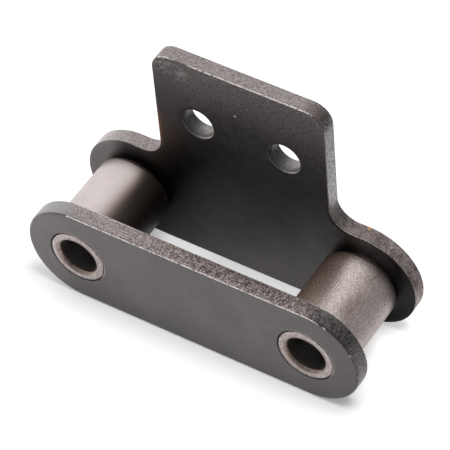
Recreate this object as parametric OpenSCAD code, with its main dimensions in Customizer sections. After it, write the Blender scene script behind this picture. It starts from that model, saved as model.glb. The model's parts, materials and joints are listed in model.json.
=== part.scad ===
// Inner link of a double-pitch roller chain with straight-sided plates.
// One plate is plain, and the other rises into an upright tab with two bolt holes.
// X runs along the chain, Y from the plain plate to the attachment plate, Z up.
// The link stands on the straight lower edges of its plates, at Z = 0.

/* [Chain] */
// Distance between the centres of the two bushes
pitch = 38.1; // [34:0.1:60]
// Clear width between the two plates
inside_w = 13.4; // [8:0.1:30]

/* [Plates] */
// Height of both plates
plate_h = 17; // [14:0.1:24]
// Thickness of both plates
plate_t = 2.6; // [1.6:0.1:4]
// Rounding of the plain plate's outer rim
plain_rim_r = 0.4; // [0.1:0.05:0.8]
// Rounding of the attachment plate's outer rim
attachment_rim_r = 0.25; // [0.1:0.05:0.8]
// Rounding of both plates' inner rims
inner_rim_r = 0.18; // [0.05:0.01:0.4]
// Rounding at the outer mouth of the bush seats
seat_mouth_r = 0.2; // [0.05:0.05:0.5]

/* [Attachment] */
// Width of the upright tab
tab_w = 28; // [20:0.5:31]
// Height of the tab's top edge above the pitch line
tab_top = 30; // [25:0.5:45]
// Radius of the tab's upper corners
tab_corner_r = 3; // [1:0.25:6]
// Radius of the fillets where the tab meets the plate
neck_r = 3.5; // [1:0.25:5]
// Diameter of the two bolt holes
bolt_hole_d = 5; // [3:0.1:7]
// Distance between the centres of the bolt holes
bolt_spacing = 14.2; // [10:0.1:17]
// Height of the bolt holes above the pitch line
bolt_height = 18.8; // [14:0.1:22]
// Rounding at the bolt holes' outer mouths
bolt_mouth_r = 0.1; // [0.05:0.05:0.5]
// Rounding at the bolt holes' inner mouths, towards the rollers
bolt_entry_r = 0.25; // [0.05:0.05:0.5]

/* [Bushes] */
// Outside diameter of the bushes, which is also their seat in the plates
bush_od = 8.9; // [7.6:0.1:9.6]
// Bore of the bushes, for the pins of the next links
bush_bore = 6; // [4:0.1:7]
// How far each bush end stands out of its plate
bush_proud = 0.08; // [0:0.02:0.3]
// How much wider the bore is at its two mouths, on the radius
mouth_flare = 0.35; // [0.05:0.05:0.6]
// How deep the flared mouths go into the bore
mouth_depth = 0.6; // [0.1:0.1:2]
// Chamfer on the outside of both bush ends
bush_chamfer = 0.15; // [0.05:0.01:0.3]

/* [Rollers] */
// Outside diameter of the rollers
roller_od = 11.9; // [11.2:0.1:13.8]
// Running clearance between roller and bush, on the radius
running_clearance = 0.07; // [0.02:0.01:0.1]
// Clearance between roller and plate, on each side
side_clearance = 0.4; // [0.05:0.05:0.8]
// Rounding of the rollers' outer rims
roller_rim_r = 0.8; // [0.1:0.05:0.85]
// Chamfer at both mouths of the rollers' bore
roller_chamfer = 0.2; // [0.05:0.05:0.3]

/* [Hidden] */
$fn = 96;

// Height of the pitch line, where the bush axes lie
pitch_z = plate_h / 2;
bush_len = inside_w + 2 * (plate_t + bush_proud);
roller_len = inside_w - 2 * side_clearance;
roller_bore = bush_od + 2 * running_clearance;
// The neck fillet ends where the round end of the plate begins
neck_fit_r = min(neck_r, (pitch - tab_w) / 2);
// Cutters run past the faces that they cut through
past = 1;

plate_colour = [0.36, 0.34, 0.33];
bush_colour = [0.78, 0.74, 0.72];
roller_colour = [0.62, 0.57, 0.54];

// The corner outside a quarter circle, with its tip at the origin and its body towards -x and -y
module corner_waste(r) {
    difference() {
        translate([-r, -r]) square(r + past);
        translate([-r, -r]) circle(r);
    }
}

// Half section of a plate: x runs out to the rim, y from the inner face to the outer face
module rim_section(reach, outer_r) {
    difference() {
        square([reach, plate_t]);
        translate([reach, plate_t]) corner_waste(outer_r);
        translate([reach, 0]) mirror([0, 1]) corner_waste(inner_rim_r);
    }
}

// A disc of the plate, with its rim rounded
module plate_disc(r, outer_r) {
    rotate_extrude() rim_section(r, outer_r);
}

// A bar of the plate along x, with both long rims rounded
module plate_bar(length, half_w, outer_r) {
    rotate([90, 0, 90]) linear_extrude(length, center = true) {
        rim_section(half_w, outer_r);
        mirror([1, 0]) rim_section(half_w, outer_r);
    }
}

// Half section of a round cutter, flared with a radius where it leaves each face of the plate
module flare_section(r, outer_r, inner_r) {
    translate([0, -past]) square([r, plate_t + 2 * past]);
    difference() {
        translate([0, plate_t - outer_r]) square([r + outer_r, outer_r + past]);
        translate([r + outer_r, plate_t - outer_r]) circle(outer_r);
    }
    difference() {
        translate([0, -past]) square([r + inner_r, inner_r + past]);
        translate([r + inner_r, inner_r]) circle(inner_r);
    }
}

module flared_cutter(r, outer_r, inner_r) {
    rotate_extrude() flare_section(r, outer_r, inner_r);
}

// The straight-sided plate lying flat, its inner face on z = 0 and its pitch line on the x axis
module obround_blank(outer_r) {
    plate_bar(pitch, plate_h / 2, outer_r);
    for (side = [-1, 1])
        translate([side * pitch / 2, 0, 0]) plate_disc(plate_h / 2, outer_r);
}

module bush_seats() {
    for (side = [-1, 1])
        translate([side * pitch / 2, 0, 0]) flared_cutter(bush_od / 2, seat_mouth_r, inner_rim_r);
}

// The upright tab, from the pitch line to its top edge, with round upper corners
module tab_blank() {
    corner_x = tab_w / 2 - tab_corner_r;
    corner_y = tab_top - tab_corner_r;
    translate([0, corner_y / 2, 0]) rotate([0, 0, 90])
        plate_bar(corner_y, tab_w / 2, attachment_rim_r);
    translate([0, corner_y, 0]) plate_bar(2 * corner_x, tab_corner_r, attachment_rim_r);
    for (side = [-1, 1])
        translate([side * corner_x, corner_y, 0]) plate_disc(tab_corner_r, attachment_rim_r);
}

// The web that fills the corner between the tab's right side and the plate's top edge
module neck_web() {
    web = neck_fit_r + max(attachment_rim_r, inner_rim_r);
    centre_x = tab_w / 2 + neck_fit_r;
    centre_y = plate_h / 2 + neck_fit_r;
    difference() {
        translate([centre_x - web, centre_y - web, 0]) cube([web, web, plate_t]);
        translate([centre_x, centre_y, 0]) flared_cutter(neck_fit_r, attachment_rim_r, inner_rim_r);
    }
}

// Stands a flat blank upright, its inner face towards the rollers: turn 0 for the near plate, 180 for the far one
module stand_upright(turn) {
    rotate([0, 0, turn]) translate([0, -inside_w / 2, pitch_z]) rotate([90, 0, 0]) children();
}

module plain_plate() {
    color(plate_colour) stand_upright(0) difference() {
        obround_blank(plain_rim_r);
        bush_seats();
    }
}

module attachment_plate() {
    color(plate_colour) stand_upright(180) difference() {
        union() {
            obround_blank(attachment_rim_r);
            tab_blank();
            neck_web();
            mirror([1, 0, 0]) neck_web();
        }
        bush_seats();
        for (side = [-1, 1])
            translate([side * bolt_spacing / 2, bolt_height, 0])
                flared_cutter(bolt_hole_d / 2, bolt_mouth_r, bolt_entry_r);
    }
}

// Carries a turned piece to the left (-1) or right (1) bush axis, its own axis along y
module on_axis(side) {
    translate([side * pitch / 2, 0, pitch_z]) rotate([90, 0, 0]) children();
}

module bush(side) {
    inner = bush_bore / 2;
    outer = bush_od / 2;
    end = bush_len / 2;
    color(bush_colour) on_axis(side) rotate_extrude() polygon([
        [inner + mouth_flare, -end], [outer - bush_chamfer, -end],
        [outer, bush_chamfer - end], [outer, end - bush_chamfer],
        [outer - bush_chamfer, end], [inner + mouth_flare, end],
        [inner, end - mouth_depth], [inner, mouth_depth - end]
    ]);
}

module roller(side) {
    inner = roller_bore / 2;
    outer = roller_od / 2;
    end = roller_len / 2;
    color(roller_colour) on_axis(side) rotate_extrude() difference() {
        polygon([
            [inner + roller_chamfer, -end], [outer, -end], [outer, end],
            [inner + roller_chamfer, end], [inner, end - roller_chamfer], [inner, roller_chamfer - end]
        ]);
        translate([outer, end]) corner_waste(roller_rim_r);
        translate([outer, -end]) mirror([0, 1]) corner_waste(roller_rim_r);
    }
}

plain_plate();
attachment_plate();
bush(-1);  // bush_left
bush(1);  // bush_right
roller(-1);  // roller_left
roller(1);  // roller_right
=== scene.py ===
"""Looks of a double-pitch chain's inner link: two blanked plates, pressed bushes and free rollers.

Lengths are in metres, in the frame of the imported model. Every piece takes its sizes from the
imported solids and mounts, and a few named values give what those don't say.
"""

import json
import math

import bmesh
import bpy
from mathutils import Matrix, Vector


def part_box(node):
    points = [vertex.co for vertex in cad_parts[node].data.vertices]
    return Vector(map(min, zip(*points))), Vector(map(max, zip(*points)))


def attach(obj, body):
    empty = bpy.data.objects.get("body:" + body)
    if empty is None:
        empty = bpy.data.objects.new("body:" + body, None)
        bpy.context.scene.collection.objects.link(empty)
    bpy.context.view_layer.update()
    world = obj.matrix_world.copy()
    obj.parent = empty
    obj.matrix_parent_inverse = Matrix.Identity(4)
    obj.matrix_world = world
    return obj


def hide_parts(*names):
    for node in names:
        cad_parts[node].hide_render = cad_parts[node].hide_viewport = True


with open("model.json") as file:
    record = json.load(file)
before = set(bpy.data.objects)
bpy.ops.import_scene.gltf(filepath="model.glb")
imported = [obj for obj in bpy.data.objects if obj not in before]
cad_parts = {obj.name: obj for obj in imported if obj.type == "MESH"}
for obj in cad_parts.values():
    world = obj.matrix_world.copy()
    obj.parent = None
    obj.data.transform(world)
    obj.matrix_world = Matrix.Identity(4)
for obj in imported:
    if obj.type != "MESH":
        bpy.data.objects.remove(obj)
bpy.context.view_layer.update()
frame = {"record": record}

MM = 0.001

# Sizes of the link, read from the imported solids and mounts
mounts = {m["name"]: m for m in frame["record"]["mounts"]}
plain_low, plain_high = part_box("plain_plate")
tab_low, tab_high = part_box("attachment_plate")
bush_low, bush_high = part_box("bush_right")
roller_low, roller_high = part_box("roller_right")

PLATE_R = (plain_high.z - plain_low.z) / 2
PLATE_T = plain_high.y - plain_low.y
INNER_Y = tab_low.y
PITCH_Z = mounts["bush_bore_right"]["pos_m"][2]
HALF_PITCH = mounts["bush_bore_right"]["pos_m"][0]
BUSH_R = (bush_high.x - bush_low.x) / 2
BUSH_END = bush_high.y
BORE_R = mounts["bush_bore_right"]["dims"]["r_mm"] * MM
MOUTH_DEPTH = BUSH_END - mounts["bush_bore_right"]["dims"]["length_mm"] * MM / 2
ROLLER_R = (roller_high.x - roller_low.x) / 2
ROLLER_END = roller_high.y
TAB_TOP = tab_high.z - PITCH_Z
BOLT_R = mounts["attachment_holes"]["dims"]["hole_r_mm"] * MM
BOLT_X = mounts["attachment_holes"]["dims"]["spacing_x_mm"] * MM / 2
BOLT_Y = mounts["attachment_holes"]["pos_m"][2] - PITCH_Z

# Sizes that the solids' boxes don't give
TAB_HALF_W = 14 * MM
TAB_CORNER_R = 3 * MM
NECK_R = 3.5 * MM
PLAIN_RIM_R = 0.4 * MM
TAB_RIM_R = 0.25 * MM
INNER_RIM_R = 0.18 * MM
SEAT_MOUTH_R = 0.2 * MM
BOLT_MOUTH_R = 0.1 * MM
BOLT_ENTRY_R = 0.25 * MM
MOUTH_FLARE = 0.35 * MM
BUSH_CHAMFER = 0.15 * MM
RUNNING_CLEARANCE = 0.07 * MM
ROLLER_RIM_R = 0.8 * MM
ROLLER_CHAMFER = 0.2 * MM

# How finely round shapes are divided
FULL_TURN_STEPS = 96
OUTER_RIM_SEGMENTS = 6
INNER_RIM_SEGMENTS = 3
ROLLER_RIM_SEGMENTS = 8


# Materials

# Single marks: where each is, and how far it reaches
NECK_BROWNING = (-TAB_HALF_W, INNER_Y, 23 * MM), 5 * MM
CORNER_SCUFFS = (
    ((-12.2 * MM, INNER_Y, 36.9 * MM), 2.4 * MM),
    ((-9.4 * MM, INNER_Y, 36.3 * MM), 2.2 * MM),
)
DUST = (-0.6 * MM, INNER_Y, 32 * MM), 0.3 * MM
# Not a mark but a painted light behind the right roller: its place and reach
PAINTED_LIGHT_BEHIND_ROLLER = (HALF_PITCH, INNER_Y, PITCH_Z), 9 * MM
PLAIN_RUST = (-2.9 * MM, -6.8 * MM, PITCH_Z + PLATE_R), 0.6 * MM
TAB_RUST = (19.1 * MM, 8.9 * MM, 17 * MM), 0.45 * MM
DARK_CORNER = (13.1 * MM, 8 * MM, 37.9 * MM), 3.8 * MM
UNWORN_EDGE = (-9 * MM, INNER_Y, PITCH_Z + TAB_TOP), 2 * MM
# A mark has its full strength over this share of its reach
MARK_CORE = 0.35

# How rough the cut edges are, and how deep their grain is
CUT_ROUGHNESS = 0.42
CUT_DEPTH = 0.015 * MM


class Nodes:
    """A material's node tree, with short calls to add and join nodes."""

    def __init__(self, name):
        self.material = bpy.data.materials.new(name)
        self.material.use_nodes = True
        self.tree = self.material.node_tree
        self.shader = self.tree.nodes["Principled BSDF"]
        self.coords = self.add("ShaderNodeTexCoord").outputs["Object"]

    def fill(self, node, inputs):
        """Gives a node's inputs other nodes' outputs, numbers or colours."""
        for key, value in inputs.items():
            socket = node.inputs[key]
            if isinstance(value, bpy.types.NodeSocket):
                self.tree.links.new(value, socket)
            else:
                socket.default_value = (*value, 1) if isinstance(value, tuple) else value

    def add(self, kind, inputs=None, **settings):
        node = self.tree.nodes.new(kind)
        for key, value in settings.items():
            setattr(node, key, value)
        self.fill(node, inputs or {})
        return node

    def noise(self, grain, detail=3.0, roughness=0.55, stretch=(1, 1, 1)):
        """Noise whose blotches are about grain metres wide."""
        mapping = self.add("ShaderNodeMapping", {"Vector": self.coords})
        mapping.inputs["Scale"].default_value = [s / grain for s in stretch]
        texture = self.add("ShaderNodeTexNoise", {
            "Vector": mapping.outputs["Vector"], "Scale": 1.0, "Detail": detail, "Roughness": roughness})
        return texture.outputs["Fac"]

    def along(self, axis):
        """The place along one axis, in metres."""
        return self.add("ShaderNodeSeparateXYZ", {"Vector": self.coords}).outputs[axis]

    def from_pair(self, half_distance):
        """The place along X from the nearer of two centres that lie this far to either side."""
        x = self.along("X")
        return self.calc("SUBTRACT", x, self.times(self.calc("SIGN", x), half_distance))

    def near(self, place, reach):
        """1 at a place, falling to 0 at reach metres from it."""
        node = self.add("ShaderNodeVectorMath", {0: self.coords}, operation="DISTANCE")
        node.inputs[1].default_value = place
        return self.band(node.outputs["Value"], MARK_CORE * reach, reach, 1, 0)

    def calc(self, operation, *values):
        """One step of arithmetic, such as SUBTRACT, SIGN or MAXIMUM."""
        return self.add("ShaderNodeMath", dict(enumerate(values)), operation=operation).outputs["Value"]

    def plus(self, total, *others):
        for value in others:
            total = self.calc("ADD", total, value)
        return total

    def times(self, product, *others):
        for value in others:
            product = self.calc("MULTIPLY", product, value)
        return product

    def band(self, source, low, high, to_low=0.0, to_high=1.0):
        """Smooth step of source from low to high."""
        node = self.add("ShaderNodeMapRange", {
            "Value": source, "From Min": low, "From Max": high, "To Min": to_low, "To Max": to_high,
        }, interpolation_type="SMOOTHSTEP")
        return node.outputs["Result"]

    def ramp(self, source, *stops):
        """A colour ramp from (position, colour) pairs."""
        node = self.add("ShaderNodeValToRGB", {"Fac": source})
        elements = node.color_ramp.elements
        while len(elements) < len(stops):
            elements.new(0.5)
        for element, (position, colour) in zip(elements, stops):
            element.position = position
            element.color = (*colour, 1)
        return node.outputs["Color"]

    def two_tone(self, source, spread, dark, light):
        """Dark to light as a noise goes from spread below its middle to spread above it."""
        return self.ramp(source, (0.5 - spread, dark), (0.5 + spread, light))

    def coat(self, colour, *layers):
        """Lays (share, colour) layers on a colour, the lowest first."""
        for share, over in layers:
            node = self.add("ShaderNodeMix", {"Factor": share, "A": colour, "B": over}, data_type="RGBA")
            colour = node.outputs["Result"]
        return colour

    def bump(self, height, depth, strength, under=None):
        """Relief from a height, on top of the relief under it if there is any."""
        node = self.add("ShaderNodeBump", {"Height": height, "Distance": depth, "Strength": strength})
        if under is not None:
            self.fill(node, {"Normal": under})
        return node.outputs["Normal"]

    def finish(self, colour, roughness, relief=None):
        """The finished material, which is metal all over."""
        self.fill(self.shader, {"Base Color": colour, "Roughness": roughness, "Metallic": 1.0})
        if relief is not None:
            self.fill(self.shader, {"Normal": relief})
        return self.material


def near_face():
    """Satin dark oxide on the plain plate's broad faces: faintly cloudy, with painted shade darkening it
    towards the right.
    """
    m = Nodes("near_face")
    clouds = m.noise(6 * MM, detail=4)
    tooth = m.noise(0.16 * MM, detail=2)
    oxide = m.two_tone(clouds, 0.2, (0.118, 0.108, 0.11), (0.147, 0.135, 0.137))
    mottle = m.band(m.noise(0.35 * MM, detail=4, roughness=0.7), 0.3, 0.7, 0.16, 0)
    # Painted shade: darker towards the right end
    right_end = m.band(m.along("X"), 12 * MM, 26 * MM, 0, 0.18)
    colour = m.coat(
        oxide,
        (mottle, (0.06, 0.055, 0.057)),
        (right_end, (0.05, 0.044, 0.047)),
    )
    roughness = m.band(m.noise(1.2 * MM), 0.3, 0.7, 0.26, 0.32)
    return m.finish(colour, roughness, m.bump(tooth, 0.003 * MM, 0.4))


def tab_face():
    """Darker oxide on the attachment plate.

    Its inner side has painted light and shade in parts, and the plate is painted lighter towards its top.
    It is browned in spots and at the tab's left edge, and scuffed at the tab's upper left corner.
    """
    m = Nodes("tab_face")
    x, z = m.along("X"), m.along("Z")
    clouds = m.noise(5 * MM, detail=4)
    tooth = m.noise(0.2 * MM, detail=3)
    blotches = m.noise(1.6 * MM, detail=3)
    grain = m.noise(0.42 * MM, detail=4, roughness=0.7)
    scratches = m.noise(0.4 * MM, detail=5, roughness=0.65, stretch=(0.5, 1, 1))
    oxide = m.two_tone(clouds, 0.2, (0.09, 0.083, 0.085), (0.12, 0.108, 0.11))

    # Painted light and shade
    inner = m.band(m.along("Y"), INNER_Y + 0.3 * MM, INNER_Y + 1 * MM, 1, 0)
    # Painted reflection: lighter towards the top
    top = m.band(z, 27 * MM, 36 * MM, 0, 0.85)
    low_left = m.times(m.band(x, -14 * MM, 0, 1, 0), m.band(z, 4 * MM, 24 * MM, 0.4, 0))
    shaded = m.times(inner, m.plus(m.band(x, -14 * MM, -5 * MM, 0.6, 0), low_left))
    lit = m.times(m.band(x, -7 * MM, 4 * MM), m.band(z, 1 * MM, 14 * MM, 0.35, 0), inner)
    # Painted light at the left end and behind the right roller
    left_end = m.times(inner, m.band(x, -24 * MM, -20 * MM, 0.85, 0))
    painted_light_behind_roller = m.times(m.near(*PAINTED_LIGHT_BEHIND_ROLLER), m.band(x, 17 * MM, 20 * MM), inner)
    # Painted shade at the right end, and near black low beside the right roller
    right_end = m.times(inner, m.band(x, 22.5 * MM, 25 * MM, 0, 0.85))
    painted_shade_low_right = m.times(m.band(x, 17 * MM, 20 * MM), m.band(z, 3 * MM, 10 * MM, 0.95, 0), inner)

    # Grain and marks
    mottle = m.times(m.band(grain, 0.35, 0.65, 1, 0), m.band(z, 26 * MM, 32 * MM, 0.3, 0.65))
    browned = m.times(m.band(blotches, 0.5, 0.66), m.band(z, 24 * MM, 32 * MM, 0, 0.25))
    above_neck = m.times(m.band(z, 19.6 * MM, 21 * MM), m.band(z, 22 * MM, 29 * MM, 1, 0))
    fringe = m.times(m.band(x, -13.9 * MM, -13.1 * MM, 0.75, 0), above_neck)
    corner = m.calc("MAXIMUM", *(m.near(*scuff) for scuff in CORNER_SCUFFS))
    scuffed = m.times(corner, m.band(scratches, 0.46, 0.6))
    specks = m.band(m.noise(0.45 * MM, detail=1), 0.76, 0.79, 0, 0.5)

    colour = m.coat(
        oxide,
        (top, (0.165, 0.145, 0.148)),
        (shaded, (0.04, 0.037, 0.038)),
        (lit, (0.16, 0.145, 0.146)),
        (mottle, (0.04, 0.035, 0.035)),
        (browned, (0.13, 0.095, 0.08)),
        (m.near(*NECK_BROWNING), (0.095, 0.074, 0.061)),
        (fringe, (0.30, 0.16, 0.09)),
        (left_end, (0.21, 0.192, 0.19)),
        (painted_light_behind_roller, (0.60, 0.57, 0.56)),
        (right_end, (0.02, 0.019, 0.019)),
        (painted_shade_low_right, (0.008, 0.008, 0.008)),
        (scuffed, (0.21, 0.187, 0.187)),
        (m.calc("MAXIMUM", m.near(*DUST), specks), (0.5, 0.48, 0.47)),
    )
    roughness = m.band(m.noise(1.2 * MM), 0.3, 0.7, 0.34, 0.42)
    return m.finish(colour, roughness, m.bump(tooth, 0.006 * MM, 0.6))


def near_rim():
    """The plain plate's cut edge: smooth at its left, torn in the middle, and still oxide at its right."""
    m = Nodes("near_rim")
    x, z = m.along("X"), m.along("Z")
    fine = m.noise(0.22 * MM, detail=3, roughness=0.7)
    coarse = m.noise(0.3 * MM, detail=4, roughness=0.75, stretch=(1, 0.5, 1))
    calm = m.two_tone(fine, 0.12, (0.19, 0.158, 0.162), (0.49, 0.44, 0.445))
    ragged = m.two_tone(fine, 0.10, (0.12, 0.092, 0.086), (0.73, 0.64, 0.62))
    oxide = m.two_tone(coarse, 0.10, (0.045, 0.042, 0.044), (0.185, 0.17, 0.172))
    bare = m.two_tone(fine, 0.12, (0.16, 0.145, 0.15), (0.58, 0.54, 0.545))

    torn = m.band(x, -20 * MM, 4 * MM, 0.1, 1)
    pits = m.times(m.band(coarse, 0.40, 0.54, 0.9, 0), torn)
    left_end = m.band(x, -22.5 * MM, -19 * MM, 1, 0)
    right_end = m.band(x, 17.5 * MM, 21.5 * MM, 0, 0.92)
    worn = m.times(m.band(x, 23.5 * MM, 26 * MM), m.band(z, 11 * MM, 15 * MM, 0.85, 0))
    rust = m.times(m.near(*PLAIN_RUST), m.band(fine, 0.40, 0.52))
    colour = m.coat(
        calm,
        (torn, ragged),
        (pits, (0.10, 0.075, 0.068)),
        (left_end, (0.375, 0.36, 0.363)),
        (right_end, oxide),
        (worn, bare),
        (rust, (0.52, 0.38, 0.17)),
    )
    return m.finish(colour, CUT_ROUGHNESS, m.bump(coarse, 0.02 * MM, 0.5, m.bump(fine, CUT_DEPTH, 0.6)))


def tab_rim():
    """The attachment plate's cut edge: an even brown-grey grain, coarser and dirtier right of the tab."""
    m = Nodes("tab_rim")
    x, z = m.along("X"), m.along("Z")
    fine = m.noise(0.24 * MM, detail=3, roughness=0.7)
    dirt = m.noise(0.8 * MM, detail=5, roughness=0.72)
    even = m.two_tone(fine, 0.14, (0.21, 0.18, 0.177), (0.45, 0.405, 0.40))
    grainy = m.two_tone(fine, 0.12, (0.155, 0.15, 0.153), (0.77, 0.74, 0.75))
    bright = m.two_tone(fine, 0.12, (0.42, 0.335, 0.32), (1.0, 0.90, 0.89))
    pale = m.two_tone(fine, 0.12, (0.41, 0.37, 0.365), (0.68, 0.63, 0.62))
    brown = m.two_tone(fine, 0.12, (0.11, 0.078, 0.067), (0.32, 0.235, 0.215))

    pits = m.band(m.noise(0.5 * MM, detail=4), 0.34, 0.42, 0.6, 0)
    tab_side = m.times(m.band(x, 13.3 * MM, 13.8 * MM), m.band(z, 19 * MM, 23 * MM), 0.9)
    corner = m.times(m.near(*DARK_CORNER), m.band(fine, 0.3, 0.7, 0.8, 0.3))
    right_end = m.band(x, 21 * MM, 23.5 * MM, 0, 0.8)
    left_end = m.band(x, -26 * MM, -19 * MM, 0.85, 0)
    right_of_tab = m.times(m.band(x, 14 * MM, 15.5 * MM), m.band(x, 22 * MM, 24.5 * MM, 1, 0.6))
    dirty = m.times(m.band(dirt, 0.34, 0.62, 0.95, 0.3), right_of_tab)
    browned = m.times(
        m.band(x, 18 * MM, 20 * MM, 0, 0.6), m.band(m.noise(1.3 * MM, detail=4), 0.46, 0.6))
    rust = m.times(m.near(*TAB_RUST), m.band(fine, 0.40, 0.5))
    colour = m.coat(
        even,
        (pits, (0.12, 0.095, 0.09)),
        (tab_side, grainy),
        (corner, (0.13, 0.10, 0.097)),
        (right_end, bright),
        (left_end, pale),
        (dirty, (0.12, 0.10, 0.095)),
        (browned, brown),
        (rust, (0.62, 0.33, 0.13)),
    )
    return m.finish(colour, CUT_ROUGHNESS, m.bump(fine, CUT_DEPTH, 0.6))


def rubbed_edge_and_highlight():
    """The thin upper edges of the plates: partly rubbed to bright steel and partly a painted highlight,
    with fine breaks.

    On the plain plate's right arc only single specks are rubbed.
    """
    m = Nodes("rubbed_edge_and_highlight")
    breaks = m.band(m.noise(0.32 * MM, detail=4, roughness=0.75), 0.38, 0.52)
    specks = m.band(m.noise(0.5 * MM, detail=3), 0.60, 0.64)
    speckled = m.coat((0.12, 0.11, 0.112), (specks, (0.8, 0.75, 0.74)))
    on_arc = m.times(
        m.band(m.along("X"), 21 * MM, 21.6 * MM), m.band(m.along("Y"), -8 * MM, -7 * MM, 1, 0))
    colour = m.coat(
        (0.18, 0.155, 0.15),
        (breaks, (0.96, 0.89, 0.88)),
        (on_arc, speckled),
        (m.near(*UNWORN_EDGE), (0.19, 0.165, 0.16)),
    )
    return m.finish(colour, 0.4, m.bump(m.noise(0.25 * MM), 0.01 * MM, 0.6))


def hole_wall():
    """Punched walls of the bolt holes, with painted light and shade: darker at the left of each hole and
    brighter towards its right.
    """
    m = Nodes("hole_wall")
    grain = m.noise(0.28 * MM, detail=4, roughness=0.7, stretch=(1, 0.5, 1))
    dark = m.two_tone(grain, 0.15, (0.08, 0.078, 0.074), (0.17, 0.165, 0.16))
    bright = m.two_tone(grain, 0.15, (0.22, 0.21, 0.205), (0.50, 0.48, 0.47))
    # Painted light and shade: each hole's wall is darker at its left and brighter towards its right
    colour = m.coat(dark, (m.band(m.from_pair(BOLT_X), -1.6 * MM, 1.6 * MM), bright))
    return m.finish(colour, CUT_ROUGHNESS, m.bump(grain, CUT_DEPTH, 0.6))


def seat_gap():
    """The groove where a bush comes out of its plate: painted shade makes it near black at its lower left,
    and it is light towards its upper right.
    """
    m = Nodes("seat_gap")
    up_right = m.plus(m.from_pair(HALF_PITCH), m.calc("SUBTRACT", m.along("Z"), PITCH_Z))
    colour = m.coat((0.02, 0.018, 0.018), (m.band(up_right, 0, 4 * MM), (0.55, 0.50, 0.50)))
    return m.finish(colour, 0.5)


def bush_end():
    """Ground ends of the bushes: light and mottled, and browned round the bore at its lower left."""
    m = Nodes("bush_end")
    ground = m.ramp(
        m.noise(0.45 * MM, detail=5, roughness=0.65),
        (0.34, (0.28, 0.23, 0.22)), (0.5, (0.44, 0.385, 0.37)), (0.66, (0.58, 0.53, 0.52)))
    brown = m.two_tone(m.noise(0.3 * MM), 0.2, (0.20, 0.15, 0.13), (0.34, 0.28, 0.25))
    x, z = m.from_pair(HALF_PITCH), m.calc("SUBTRACT", m.along("Z"), PITCH_Z)
    from_axis = m.calc("SQRT", m.plus(m.times(x, x), m.times(z, z)))
    round_bore = m.band(from_axis, BORE_R + MOUTH_FLARE, BORE_R + 1.0 * MM, 0.9, 0)
    low_left = m.band(m.plus(x, z), -3 * MM, 1 * MM, 1, 0.2)
    on_left_bush = m.band(m.along("X"), -10 * MM, 10 * MM, 0.1, 0)
    colour = m.coat(
        ground,
        (m.times(round_bore, low_left), brown),
        (on_left_bush, (0.05, 0.045, 0.045)),
    )
    return m.finish(colour, 0.36, m.bump(m.noise(0.15 * MM), 0.006 * MM, 0.5))


def bush_mouth():
    """Flared mouths of the bushes' bores, browned by oil."""
    m = Nodes("bush_mouth")
    clouds = m.noise(0.5 * MM, detail=3)
    return m.finish(m.two_tone(clouds, 0.2, (0.20, 0.145, 0.125), (0.38, 0.30, 0.265)), 0.4)


def bush_bore():
    """Oiled dark bore of the bushes."""
    m = Nodes("bush_bore")
    clouds = m.noise(0.6 * MM)
    return m.finish(m.two_tone(clouds, 0.2, (0.22, 0.205, 0.20), (0.30, 0.28, 0.275)), 0.45)


def roller_steel():
    """Rollers: warm satin steel, smooth on the left one, with a brown grain and stains on the right.

    Painted shade darkens the left one towards its right side and the right one at its left edge, and
    both turn darker and browner towards their far ends.
    """
    m = Nodes("roller_steel")
    x, y = m.along("X"), m.along("Y")
    grain = m.noise(0.22 * MM, detail=3, roughness=0.7)
    clouds = m.noise(3 * MM, detail=4)
    streaks = m.noise(2.2 * MM, detail=5, roughness=0.65, stretch=(1, 0.5, 1))
    left_steel = m.two_tone(clouds, 0.2, (0.70, 0.62, 0.60), (0.77, 0.69, 0.67))
    right_steel = m.two_tone(clouds, 0.2, (0.86, 0.735, 0.70), (0.92, 0.82, 0.79))

    # Painted shade and reflection: towards its right side the left roller turns warm, then brown, then near
    # black
    warm = m.band(x, -18 * MM, -16.6 * MM, 0, 0.7)
    brown = m.band(x, -17.2 * MM, -15 * MM, 0, 0.95)
    dark = m.band(x, -14.9 * MM, -13.3 * MM)
    outer_side = m.band(x, -23.5 * MM, -20.5 * MM, 0.14, 0)
    faint_grain = m.band(grain, 0.36, 0.6, 0.08, 0)
    far_end = m.band(y, 5 * MM, 6.2 * MM, 0, 0.5)
    left = m.coat(
        left_steel,
        (warm, (0.72, 0.56, 0.47)),
        (brown, (0.29, 0.24, 0.21)),
        (dark, (0.09, 0.08, 0.075)),
        (outer_side, (0.3, 0.26, 0.25)),
        (faint_grain, (0, 0, 0)),
        (far_end, (0.40, 0.29, 0.23)),
    )

    # Painted shade: the right roller's left edge is dark brown
    brown = m.band(x, 13.5 * MM, 15 * MM, 0.85, 0)
    warm = m.band(x, 15.5 * MM, 20 * MM, 0.95, 0)
    stained = m.times(
        m.band(x, 20.8 * MM, 22.3 * MM, 0.04, 0.72), m.band(x, 22.6 * MM, 24 * MM, 1, 0.1),
        m.band(streaks, 0.32, 0.64))
    strong_grain = m.band(grain, 0.40, 0.57, 0.44, 0)
    far_end = m.band(y, 3.4 * MM, 6.2 * MM, 0, 0.6)
    right = m.coat(
        right_steel,
        (brown, (0.2, 0.14, 0.115)),
        (warm, (1.0, 0.74, 0.58)),
        (stained, (0.40, 0.285, 0.25)),
        (strong_grain, (0.08, 0.05, 0.03)),
        (far_end, (0.12, 0.09, 0.088)),
    )
    on_right = m.band(x, -5 * MM, 5 * MM)
    relief = m.bump(m.times(grain, on_right), 0.02 * MM, 0.7)
    return m.finish(m.coat(left, (on_right, right)), 0.38, relief)


MATERIALS = {
    "near_face": near_face(),
    "tab_face": tab_face(),
    "near_rim": near_rim(),
    "tab_rim": tab_rim(),
    "edge": rubbed_edge_and_highlight(),
    "hole": hole_wall(),
    "gap": seat_gap(),
    "bush_end": bush_end(),
    "mouth": bush_mouth(),
    "bore": bush_bore(),
    "roller": roller_steel(),
}


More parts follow.
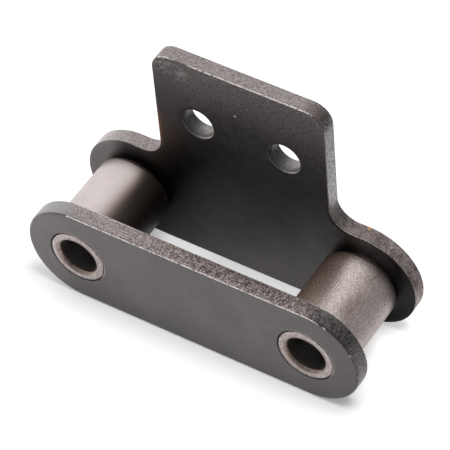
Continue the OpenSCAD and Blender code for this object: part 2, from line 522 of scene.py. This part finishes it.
# Mesh helpers

# Points this near a height or a ring, or this near a round wall, count as lying on it
LEVEL_WITHIN = 1e-6
ON_WALL_WITHIN = 1e-5
# The most that large faces can outweigh small ones where normals are smoothed
FULL_WEIGHT = 100


def finish_piece(name, bm, slots, body, node):
    """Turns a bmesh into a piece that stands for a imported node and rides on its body."""
    bmesh.ops.recalc_face_normals(bm, faces=bm.faces[:])
    mesh = bpy.data.meshes.new(name)
    for face in bm.faces:
        face.smooth = True
    bm.to_mesh(mesh)
    bm.free()
    for slot in slots:
        mesh.materials.append(MATERIALS[slot])
    piece = bpy.data.objects.new(name, mesh)
    bpy.context.scene.collection.objects.link(piece)
    weighted = piece.modifiers.new("broad_faces_stay_flat", "WEIGHTED_NORMAL")
    weighted.weight = FULL_WEIGHT
    weighted.keep_sharp = True
    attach(piece, body)
    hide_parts(node)


def bevel(bm, edges, width, segments):
    """Rounds edges, or chamfers them with one segment."""
    bmesh.ops.bevel(
        bm, geom=edges, offset=width, offset_type="OFFSET", segments=segments,
        profile=0.5, affect="EDGES", clamp_overlap=False, material=-1,
    )


# Plates

# Width of the strip that is laid round the inside of each broad face, for the rims' roundings to end on
STRIP = 0.8 * MM
# A face's tilt is 0 on the wall of the rim and 1 on the broad faces. Any tilt over CAP_TILT is a broad
# face of the sharp blank, and any over FLAT_TILT one of the rounded plate
CAP_TILT = 0.9
FLAT_TILT = 0.999
# Roundings that are tilted more than this look like the broad face beside them, and so do those round
# the ends of the plates from a smaller tilt on
FACE_TILT = 0.96
ARC_TILT = 0.70
# Order of the materials on a plate and on a bush
FACE, RIM, RUBBED_AND_HIGHLIT, WALL, GROOVE = range(5)
END, MOUTH, BORE = range(3)


class Outline:
    """A chain of edges in the XY plane, grown by straight runs and by arcs, and closed at the end."""

    def __init__(self, bm, x, y):
        self.bm = bm
        self.start = self.last = bm.verts.new((x, y, 0))

    def line(self, x, y):
        point = self.bm.verts.new((x, y, 0))
        self.bm.edges.new((self.last, point))
        self.last = point

    def arc(self, x, y, degrees):
        """Turns the last point about (x, y), anticlockwise where degrees is positive."""
        steps = max(4, round(FULL_TURN_STEPS * abs(degrees) / 360))
        made = bmesh.ops.spin(
            self.bm, geom=[self.last], cent=(x, y, 0), axis=(0, 0, 1),
            angle=math.radians(degrees), steps=steps, use_duplicate=False,
        )
        self.last = next(v for v in made["geom_last"] if isinstance(v, bmesh.types.BMVert))

    def close(self):
        self.bm.edges.new((self.last, self.start))


def plain_outline(bm):
    path = Outline(bm, HALF_PITCH, -PLATE_R)
    path.arc(HALF_PITCH, 0, 180)
    path.line(-HALF_PITCH, PLATE_R)
    path.arc(-HALF_PITCH, 0, 180)
    path.close()


def tab_outline(bm):
    neck_x = TAB_HALF_W + NECK_R
    neck_y = PLATE_R + NECK_R
    corner_x = TAB_HALF_W - TAB_CORNER_R
    corner_y = TAB_TOP - TAB_CORNER_R
    path = Outline(bm, HALF_PITCH, -PLATE_R)
    path.arc(HALF_PITCH, 0, 180)
    path.line(neck_x, PLATE_R)
    path.arc(neck_x, neck_y, -90)
    path.line(TAB_HALF_W, corner_y)
    path.arc(corner_x, corner_y, 90)
    path.line(-corner_x, TAB_TOP)
    path.arc(-corner_x, corner_y, 90)
    path.line(-TAB_HALF_W, neck_y)
    path.arc(-neck_x, neck_y, -90)
    path.line(-HALF_PITCH, PLATE_R)
    path.arc(-HALF_PITCH, 0, 180)
    path.close()


class Hole:
    """A round hole of a plate, with the roundings at its outer and its inner mouth."""

    def __init__(self, x, y, radius, outer_mouth_r, inner_mouth_r):
        self.x, self.y, self.radius = x, y, radius
        self.mouths = ((PLATE_T, outer_mouth_r), (0, inner_mouth_r))

    def reaches(self, point, margin):
        return math.hypot(point.x - self.x, point.y - self.y) < self.radius + margin


def plate_blank(outline, holes):
    """A flat plate with holes and with sharp rims, its inner face on z = 0."""
    bm = bmesh.new()
    outline(bm)
    for hole in holes:
        bmesh.ops.create_circle(
            bm, segments=FULL_TURN_STEPS, radius=hole.radius,
            matrix=Matrix.Translation((hole.x, hole.y, 0)))
    bmesh.ops.triangle_fill(bm, use_beauty=True, use_dissolve=False, edges=bm.edges[:])
    raised = bmesh.ops.extrude_face_region(bm, geom=bm.faces[:])
    raised_verts = [v for v in raised["geom"] if isinstance(v, bmesh.types.BMVert)]
    bmesh.ops.translate(bm, vec=(0, 0, PLATE_T), verts=raised_verts)
    bmesh.ops.recalc_face_normals(bm, faces=bm.faces[:])
    for direction in (-1, 1):
        cap = [f for f in bm.faces if f.normal.z * direction > CAP_TILT]
        bmesh.ops.inset_region(bm, faces=cap, thickness=STRIP, use_even_offset=True, use_boundary=True)
    return bm


def rim_edges(bm, holes, z, wanted=None):
    """Sharp edges of the broad face at height z, round the wanted hole or else round the outline."""
    found = []
    for edge in bm.edges:
        middle = (edge.verts[0].co + edge.verts[1].co) / 2
        broad = sum(abs(f.normal.z) > CAP_TILT for f in edge.link_faces)
        if abs(middle.z - z) > LEVEL_WITHIN or broad != 1 or len(edge.link_faces) != 2:
            continue
        if next((h for h in holes if h.reaches(middle, ON_WALL_WITHIN)), None) is wanted:
            found.append(edge)
    return found


def plate_finish(face, holes, rubbed):
    """Which of a plate's materials a face has."""
    middle = face.calc_center_median()
    tilt = abs(face.normal.z)
    at_end = abs(middle.x) > HALF_PITCH
    if tilt > FLAT_TILT:
        return FACE
    if any(hole.reaches(middle, max(r for _, r in hole.mouths)) for hole in holes):
        return GROOVE if abs(middle.y) < BUSH_R + 2 * SEAT_MOUTH_R else WALL
    if rubbed(middle, tilt):
        return RUBBED_AND_HIGHLIT
    return FACE if tilt > (ARC_TILT if at_end else FACE_TILT) else RIM


def make_plate(name, outline, holes, rim_r, turn, node, face_slot, rim_slot, rubbed):
    """Makes a plate lying flat, and stands it upright with its inner face inwards.

    turn is its turn about z. rubbed(middle, tilt) tells which faces of the rim are rubbed bright and carry
    the painted highlight.
    """
    bm = plate_blank(outline, holes)
    bevel(bm, rim_edges(bm, holes, PLATE_T), rim_r, OUTER_RIM_SEGMENTS)
    bevel(bm, rim_edges(bm, holes, 0), INNER_RIM_R, INNER_RIM_SEGMENTS)
    for hole in holes:
        for z, mouth_r in hole.mouths:
            bevel(bm, rim_edges(bm, holes, z, hole), mouth_r, INNER_RIM_SEGMENTS)
    bm.normal_update()
    for face in bm.faces:
        face.material_index = plate_finish(face, holes, rubbed)
    upright = (
        Matrix.Rotation(turn, 4, "Z")
        @ Matrix.Translation((0, -INNER_Y, PITCH_Z))
        @ Matrix.Rotation(math.pi / 2, 4, "X")
    )
    bmesh.ops.transform(bm, matrix=upright, verts=bm.verts[:])
    finish_piece(name, bm, [face_slot, rim_slot, "edge", "hole", "gap"], "link", node)


# Where the plates' rims are rubbed bright, partly as a painted highlight: from which tilt to which, on the
# plain plate's outer and inner rounding and on the tab's inner one, which at the foot of the neck begins
# later
PLAIN_OUTER_RUB = 0.70, FACE_TILT
PLAIN_INNER_RUB = 0.2, 0.5
TAB_RUB = 0.2, 0.9
FOOT_RUB_START = 0.35
# How far along the plain plate's top, as it lies flat, and from where on round its right arc
PLAIN_TOP_RUB_X = -1.07 * HALF_PITCH, 1.12 * HALF_PITCH
PLAIN_TOP_RUB_Y = 0.9 * PLATE_R
PLAIN_ARC_RUB_X = 1.1 * HALF_PITCH
PLAIN_ARC_RUB_Y = -0.3 * PLATE_R
# How far along the tab's top, whose left is at positive x as its plate lies flat, and round the foot
TAB_TOP_RUB_X = 0.6 * TAB_CORNER_R - TAB_HALF_W, TAB_HALF_W - 0.4 * TAB_CORNER_R
TAB_TOP_RUB_Y = TAB_TOP - 0.5 * TAB_CORNER_R
FOOT_RUB_REACH = 1 * MM


def between(value, limits):
    return limits[0] < value < limits[1]


def near_rubbed_and_highlit(middle, tilt):
    """Along the plain plate's straight top, and on the outer rounding of its right arc too."""
    outer = middle.z > PLATE_T / 2
    on_top = middle.y > PLAIN_TOP_RUB_Y and between(middle.x, PLAIN_TOP_RUB_X)
    on_arc = outer and middle.x > PLAIN_ARC_RUB_X and middle.y > PLAIN_ARC_RUB_Y
    return (on_top or on_arc) and between(tilt, PLAIN_OUTER_RUB if outer else PLAIN_INNER_RUB)


def tab_rubbed_and_highlit(middle, tilt):
    """The inner rounding along the top of the tab and, right of it, round the foot of the neck."""
    inner = middle.z < PLATE_T / 2
    on_top = middle.y > TAB_TOP_RUB_Y and between(middle.x, TAB_TOP_RUB_X)
    at_foot = abs(middle.y - PLATE_R) < FOOT_RUB_REACH and middle.x < -TAB_HALF_W and tilt > FOOT_RUB_START
    return inner and (on_top or at_foot) and between(tilt, TAB_RUB)


# Bushes and rollers

def turned_tube(section, axis_x):
    """A tube turned about an axis along Y, from the (radius, y) corners of its section's far half."""
    bm = bmesh.new()
    corners = section + [(radius, -y) for radius, y in reversed(section)]
    ring = [bm.verts.new((radius, y, 0)) for radius, y in corners]
    edges = [bm.edges.new((a, b)) for a, b in zip(ring, ring[1:] + ring[:1])]
    bmesh.ops.spin(
        bm, geom=ring + edges, cent=(0, 0, 0), axis=(0, 1, 0),
        angle=2 * math.pi, steps=FULL_TURN_STEPS, use_merge=True,
    )
    bmesh.ops.recalc_face_normals(bm, faces=bm.faces[:])
    bmesh.ops.translate(bm, vec=(axis_x, 0, PITCH_Z), verts=bm.verts[:])
    return bm


def from_bush_axis(point, axis_x):
    return math.hypot(point.x - axis_x, point.z - PITCH_Z)


def ring_edges(bm, axis_x, radius, y):
    """Edges of the two rings at this radius and this distance from the middle."""
    return [
        e for e in bm.edges
        if all(abs(from_bush_axis(v.co, axis_x) - radius) < LEVEL_WITHIN for v in e.verts)
        and all(abs(abs(v.co.y) - y) < LEVEL_WITHIN for v in e.verts)
    ]


def make_bush(name, side, node):
    axis_x = side * HALF_PITCH
    mouth_r = BORE_R + MOUTH_FLARE
    bm = turned_tube([
        (BORE_R, BUSH_END - MOUTH_DEPTH),
        (mouth_r, BUSH_END),
        (BUSH_R - BUSH_CHAMFER, BUSH_END),
        (BUSH_R, BUSH_END - BUSH_CHAMFER),
    ], axis_x)
    bm.normal_update()
    for face in bm.faces:
        from_axis = from_bush_axis(face.calc_center_median(), axis_x)
        if from_axis < BORE_R + ON_WALL_WITHIN:
            face.material_index = BORE
        else:
            face.material_index = MOUTH if from_axis < mouth_r else END
    finish_piece(name, bm, ["bush_end", "mouth", "bore"], "link", node)


def make_roller(name, side, body, node):
    axis_x = side * HALF_PITCH
    bore_r = BUSH_R + RUNNING_CLEARANCE
    bm = turned_tube([
        (bore_r, ROLLER_END - ROLLER_CHAMFER),
        (bore_r + ROLLER_CHAMFER, ROLLER_END),
        (ROLLER_R, ROLLER_END),
    ], axis_x)
    bevel(bm, ring_edges(bm, axis_x, ROLLER_R, ROLLER_END), ROLLER_RIM_R, ROLLER_RIM_SEGMENTS)
    finish_piece(name, bm, ["roller"], body, node)


seats = [Hole(side * HALF_PITCH, 0, BUSH_R, SEAT_MOUTH_R, INNER_RIM_R) for side in (-1, 1)]
bolts = [Hole(side * BOLT_X, BOLT_Y, BOLT_R, BOLT_MOUTH_R, BOLT_ENTRY_R) for side in (-1, 1)]
make_plate(
    "near_plate", plain_outline, seats, PLAIN_RIM_R, 0, "plain_plate", "near_face", "near_rim", near_rubbed_and_highlit)
make_plate(
    "tab_plate", tab_outline, seats + bolts, TAB_RIM_R, math.pi, "attachment_plate", "tab_face", "tab_rim",
    tab_rubbed_and_highlit)
make_bush("left_bush", -1, "bush_left")
make_bush("right_bush", 1, "bush_right")
make_roller("left_roller_shell", -1, "left_roller", "roller_left")
make_roller("right_roller_shell", 1, "right_roller", "roller_right")


# Stage, light and camera

FLOOR_SIZE = 3.0
# The floor lies a hair under the plates' lower edges, so that the two don't share one surface
FLOOR_Z = -0.02 * MM
FLOOR_COLOUR = 0.8
# A soft lamp above the link lights the floor, and isn't mirrored in the metal
LAMP_PLACE = (0.14, 0, 0.5)
LAMP_SIZE = 0.28
LAMP_POWER = 2.13
# What makes the floor white where it is seen or mirrored, on top of the light that falls on it
FLOOR_GLOW = 0.2
# Where the link's shade on the floor is lifted for the camera: place, reach and gain
SHADE_LIFTS = (
    ((25 * MM, 7.5 * MM, FLOOR_Z), 8 * MM, 0.22),
    ((-13 * MM, 5 * MM, FLOOR_Z), 9 * MM, 0.12),
    ((22.6 * MM, 1.7 * MM, FLOOR_Z), 6 * MM, 0.2),
)
# How much of the floor's white is lost in the metal's reflections, as bands along X: a little from the
# link's left part on, and much more to its right
FRONT_LOSS = -32 * MM, -12 * MM, 0, 0.14
RIGHT_LOSS = 19 * MM, 43 * MM, 0, 0.62
# and, as bands along Y and X, between the plates, where it is most at the left and ends at the right
SHELTERED_Y = (-8 * MM, -5 * MM, 0, 1), (0, 7 * MM, 0.5, 0)
SHELTERED_X = (-4 * MM, 8 * MM, 1, 0.3), (18 * MM, 24 * MM, 1, 0)
# The studio is brightest towards this side, behind the link's left, and dims away from it
BRIGHT_SIDE = (-0.80, 0.50, 0.33)
BRIGHT_FROM, BRIGHT_TO = -0.2, 0.7
DIM_LEVEL = 0.28


def make_floor():
    """A pale floor that takes the link's shadow, and is white away from it."""
    bm = bmesh.new()
    bmesh.ops.create_grid(
        bm, x_segments=1, y_segments=1, size=FLOOR_SIZE / 2, matrix=Matrix.Translation((0, 0, FLOOR_Z)))
    mesh = bpy.data.meshes.new("floor")
    bm.to_mesh(mesh)
    bm.free()
    floor = bpy.data.objects.new("floor", mesh)
    bpy.context.scene.collection.objects.link(floor)
    m = Nodes("white_floor")
    m.tree.nodes.remove(m.shader)
    path = m.add("ShaderNodeLightPath")
    watched = path.outputs["Is Camera Ray"]
    mirrored = path.outputs["Is Glossy Ray"]
    x, y = m.along("X"), m.along("Y")
    sheltered = m.times(
        m.times(*(m.band(y, *limits) for limits in SHELTERED_Y)),
        m.times(*(m.band(x, *limits) for limits in SHELTERED_X)))
    loss = m.plus(m.band(x, *FRONT_LOSS), m.band(x, *RIGHT_LOSS), sheltered)
    kept = m.calc("SUBTRACT", 1, m.times(mirrored, loss))
    seen = m.plus(mirrored, path.outputs["Is Transmission Ray"], watched)
    lift = m.plus(*(m.times(m.near(place, reach), gain) for place, reach, gain in SHADE_LIFTS))
    strength = m.plus(m.times(lift, watched), m.times(seen, kept, FLOOR_GLOW))
    diffuse = m.add("ShaderNodeBsdfDiffuse", {"Color": m.times(kept, FLOOR_COLOUR)})
    glow = m.add("ShaderNodeEmission", {"Strength": strength})
    both = m.add("ShaderNodeAddShader", {0: diffuse.outputs[0], 1: glow.outputs[0]})
    m.fill(m.tree.nodes["Material Output"], {"Surface": both.outputs[0]})
    m.material.cycles.emission_sampling = "NONE"
    mesh.materials.append(m.material)


def make_world():
    """White to the camera, and to everything else a studio that dims towards the front and right."""
    world = bpy.data.worlds.new("studio")
    bpy.context.scene.world = world
    world.use_nodes = True
    tree = world.node_tree
    add, link = tree.nodes.new, tree.links.new
    background = tree.nodes["Background"]
    background.inputs["Color"].default_value = (1, 1, 1, 1)
    direction = add("ShaderNodeTexCoord")
    facing = add("ShaderNodeVectorMath")
    facing.operation = "DOT_PRODUCT"
    facing.inputs[1].default_value = BRIGHT_SIDE
    link(direction.outputs["Generated"], facing.inputs[0])
    level = add("ShaderNodeMapRange")
    level.inputs["From Min"].default_value = BRIGHT_FROM
    level.inputs["From Max"].default_value = BRIGHT_TO
    level.inputs["To Min"].default_value = DIM_LEVEL
    level.inputs["To Max"].default_value = 1
    link(facing.outputs["Value"], level.inputs["Value"])
    path = add("ShaderNodeLightPath")
    shown = add("ShaderNodeMix")
    shown.inputs["B"].default_value = 1
    link(path.outputs["Is Camera Ray"], shown.inputs["Factor"])
    link(level.outputs["Result"], shown.inputs["A"])
    link(shown.outputs["Result"], background.inputs["Strength"])


def make_lamp():
    data = bpy.data.lights.new("soft_lamp", "AREA")
    data.shape = "DISK"
    data.size = LAMP_SIZE
    data.energy = LAMP_POWER
    lamp = bpy.data.objects.new("soft_lamp", data)
    lamp.location = LAMP_PLACE
    lamp.visible_glossy = False
    bpy.context.scene.collection.objects.link(lamp)


# The camera's place, fitted to the photograph's outlines
VIEW_AZIMUTH = math.radians(35.803)
VIEW_ELEVATION = math.radians(47.986)
VIEW_ROLL = math.radians(-5.572)
VIEW_DISTANCE = 433.79 * MM
VIEW_AIM = Vector((-1.799, 3.593, 11.863)) * MM
# Focal length and width of the picture, in millimetres as a camera has them
LENS = 242.52
SENSOR_WIDTH = 36
CLIP_START = 0.01


def make_camera():
    back = Vector((
        math.cos(VIEW_ELEVATION) * math.sin(VIEW_AZIMUTH),
        -math.cos(VIEW_ELEVATION) * math.cos(VIEW_AZIMUTH),
        math.sin(VIEW_ELEVATION),
    ))
    level = Vector((math.cos(VIEW_AZIMUTH), math.sin(VIEW_AZIMUTH), 0))
    right = Matrix.Rotation(VIEW_ROLL, 3, back) @ level
    up = back.cross(right)
    data = bpy.data.cameras.new("camera")
    data.lens = LENS
    data.sensor_width = SENSOR_WIDTH
    data.clip_start = CLIP_START
    camera = bpy.data.objects.new("camera", data)
    bpy.context.scene.collection.objects.link(camera)
    turn = Matrix((right, up, back)).transposed()
    camera.matrix_world = Matrix.Translation(VIEW_AIM + back * VIEW_DISTANCE) @ turn.to_4x4()
    bpy.context.scene.camera = camera


make_floor()
make_world()
make_lamp()
make_camera()
bpy.context.scene.view_settings.view_transform = "Standard"
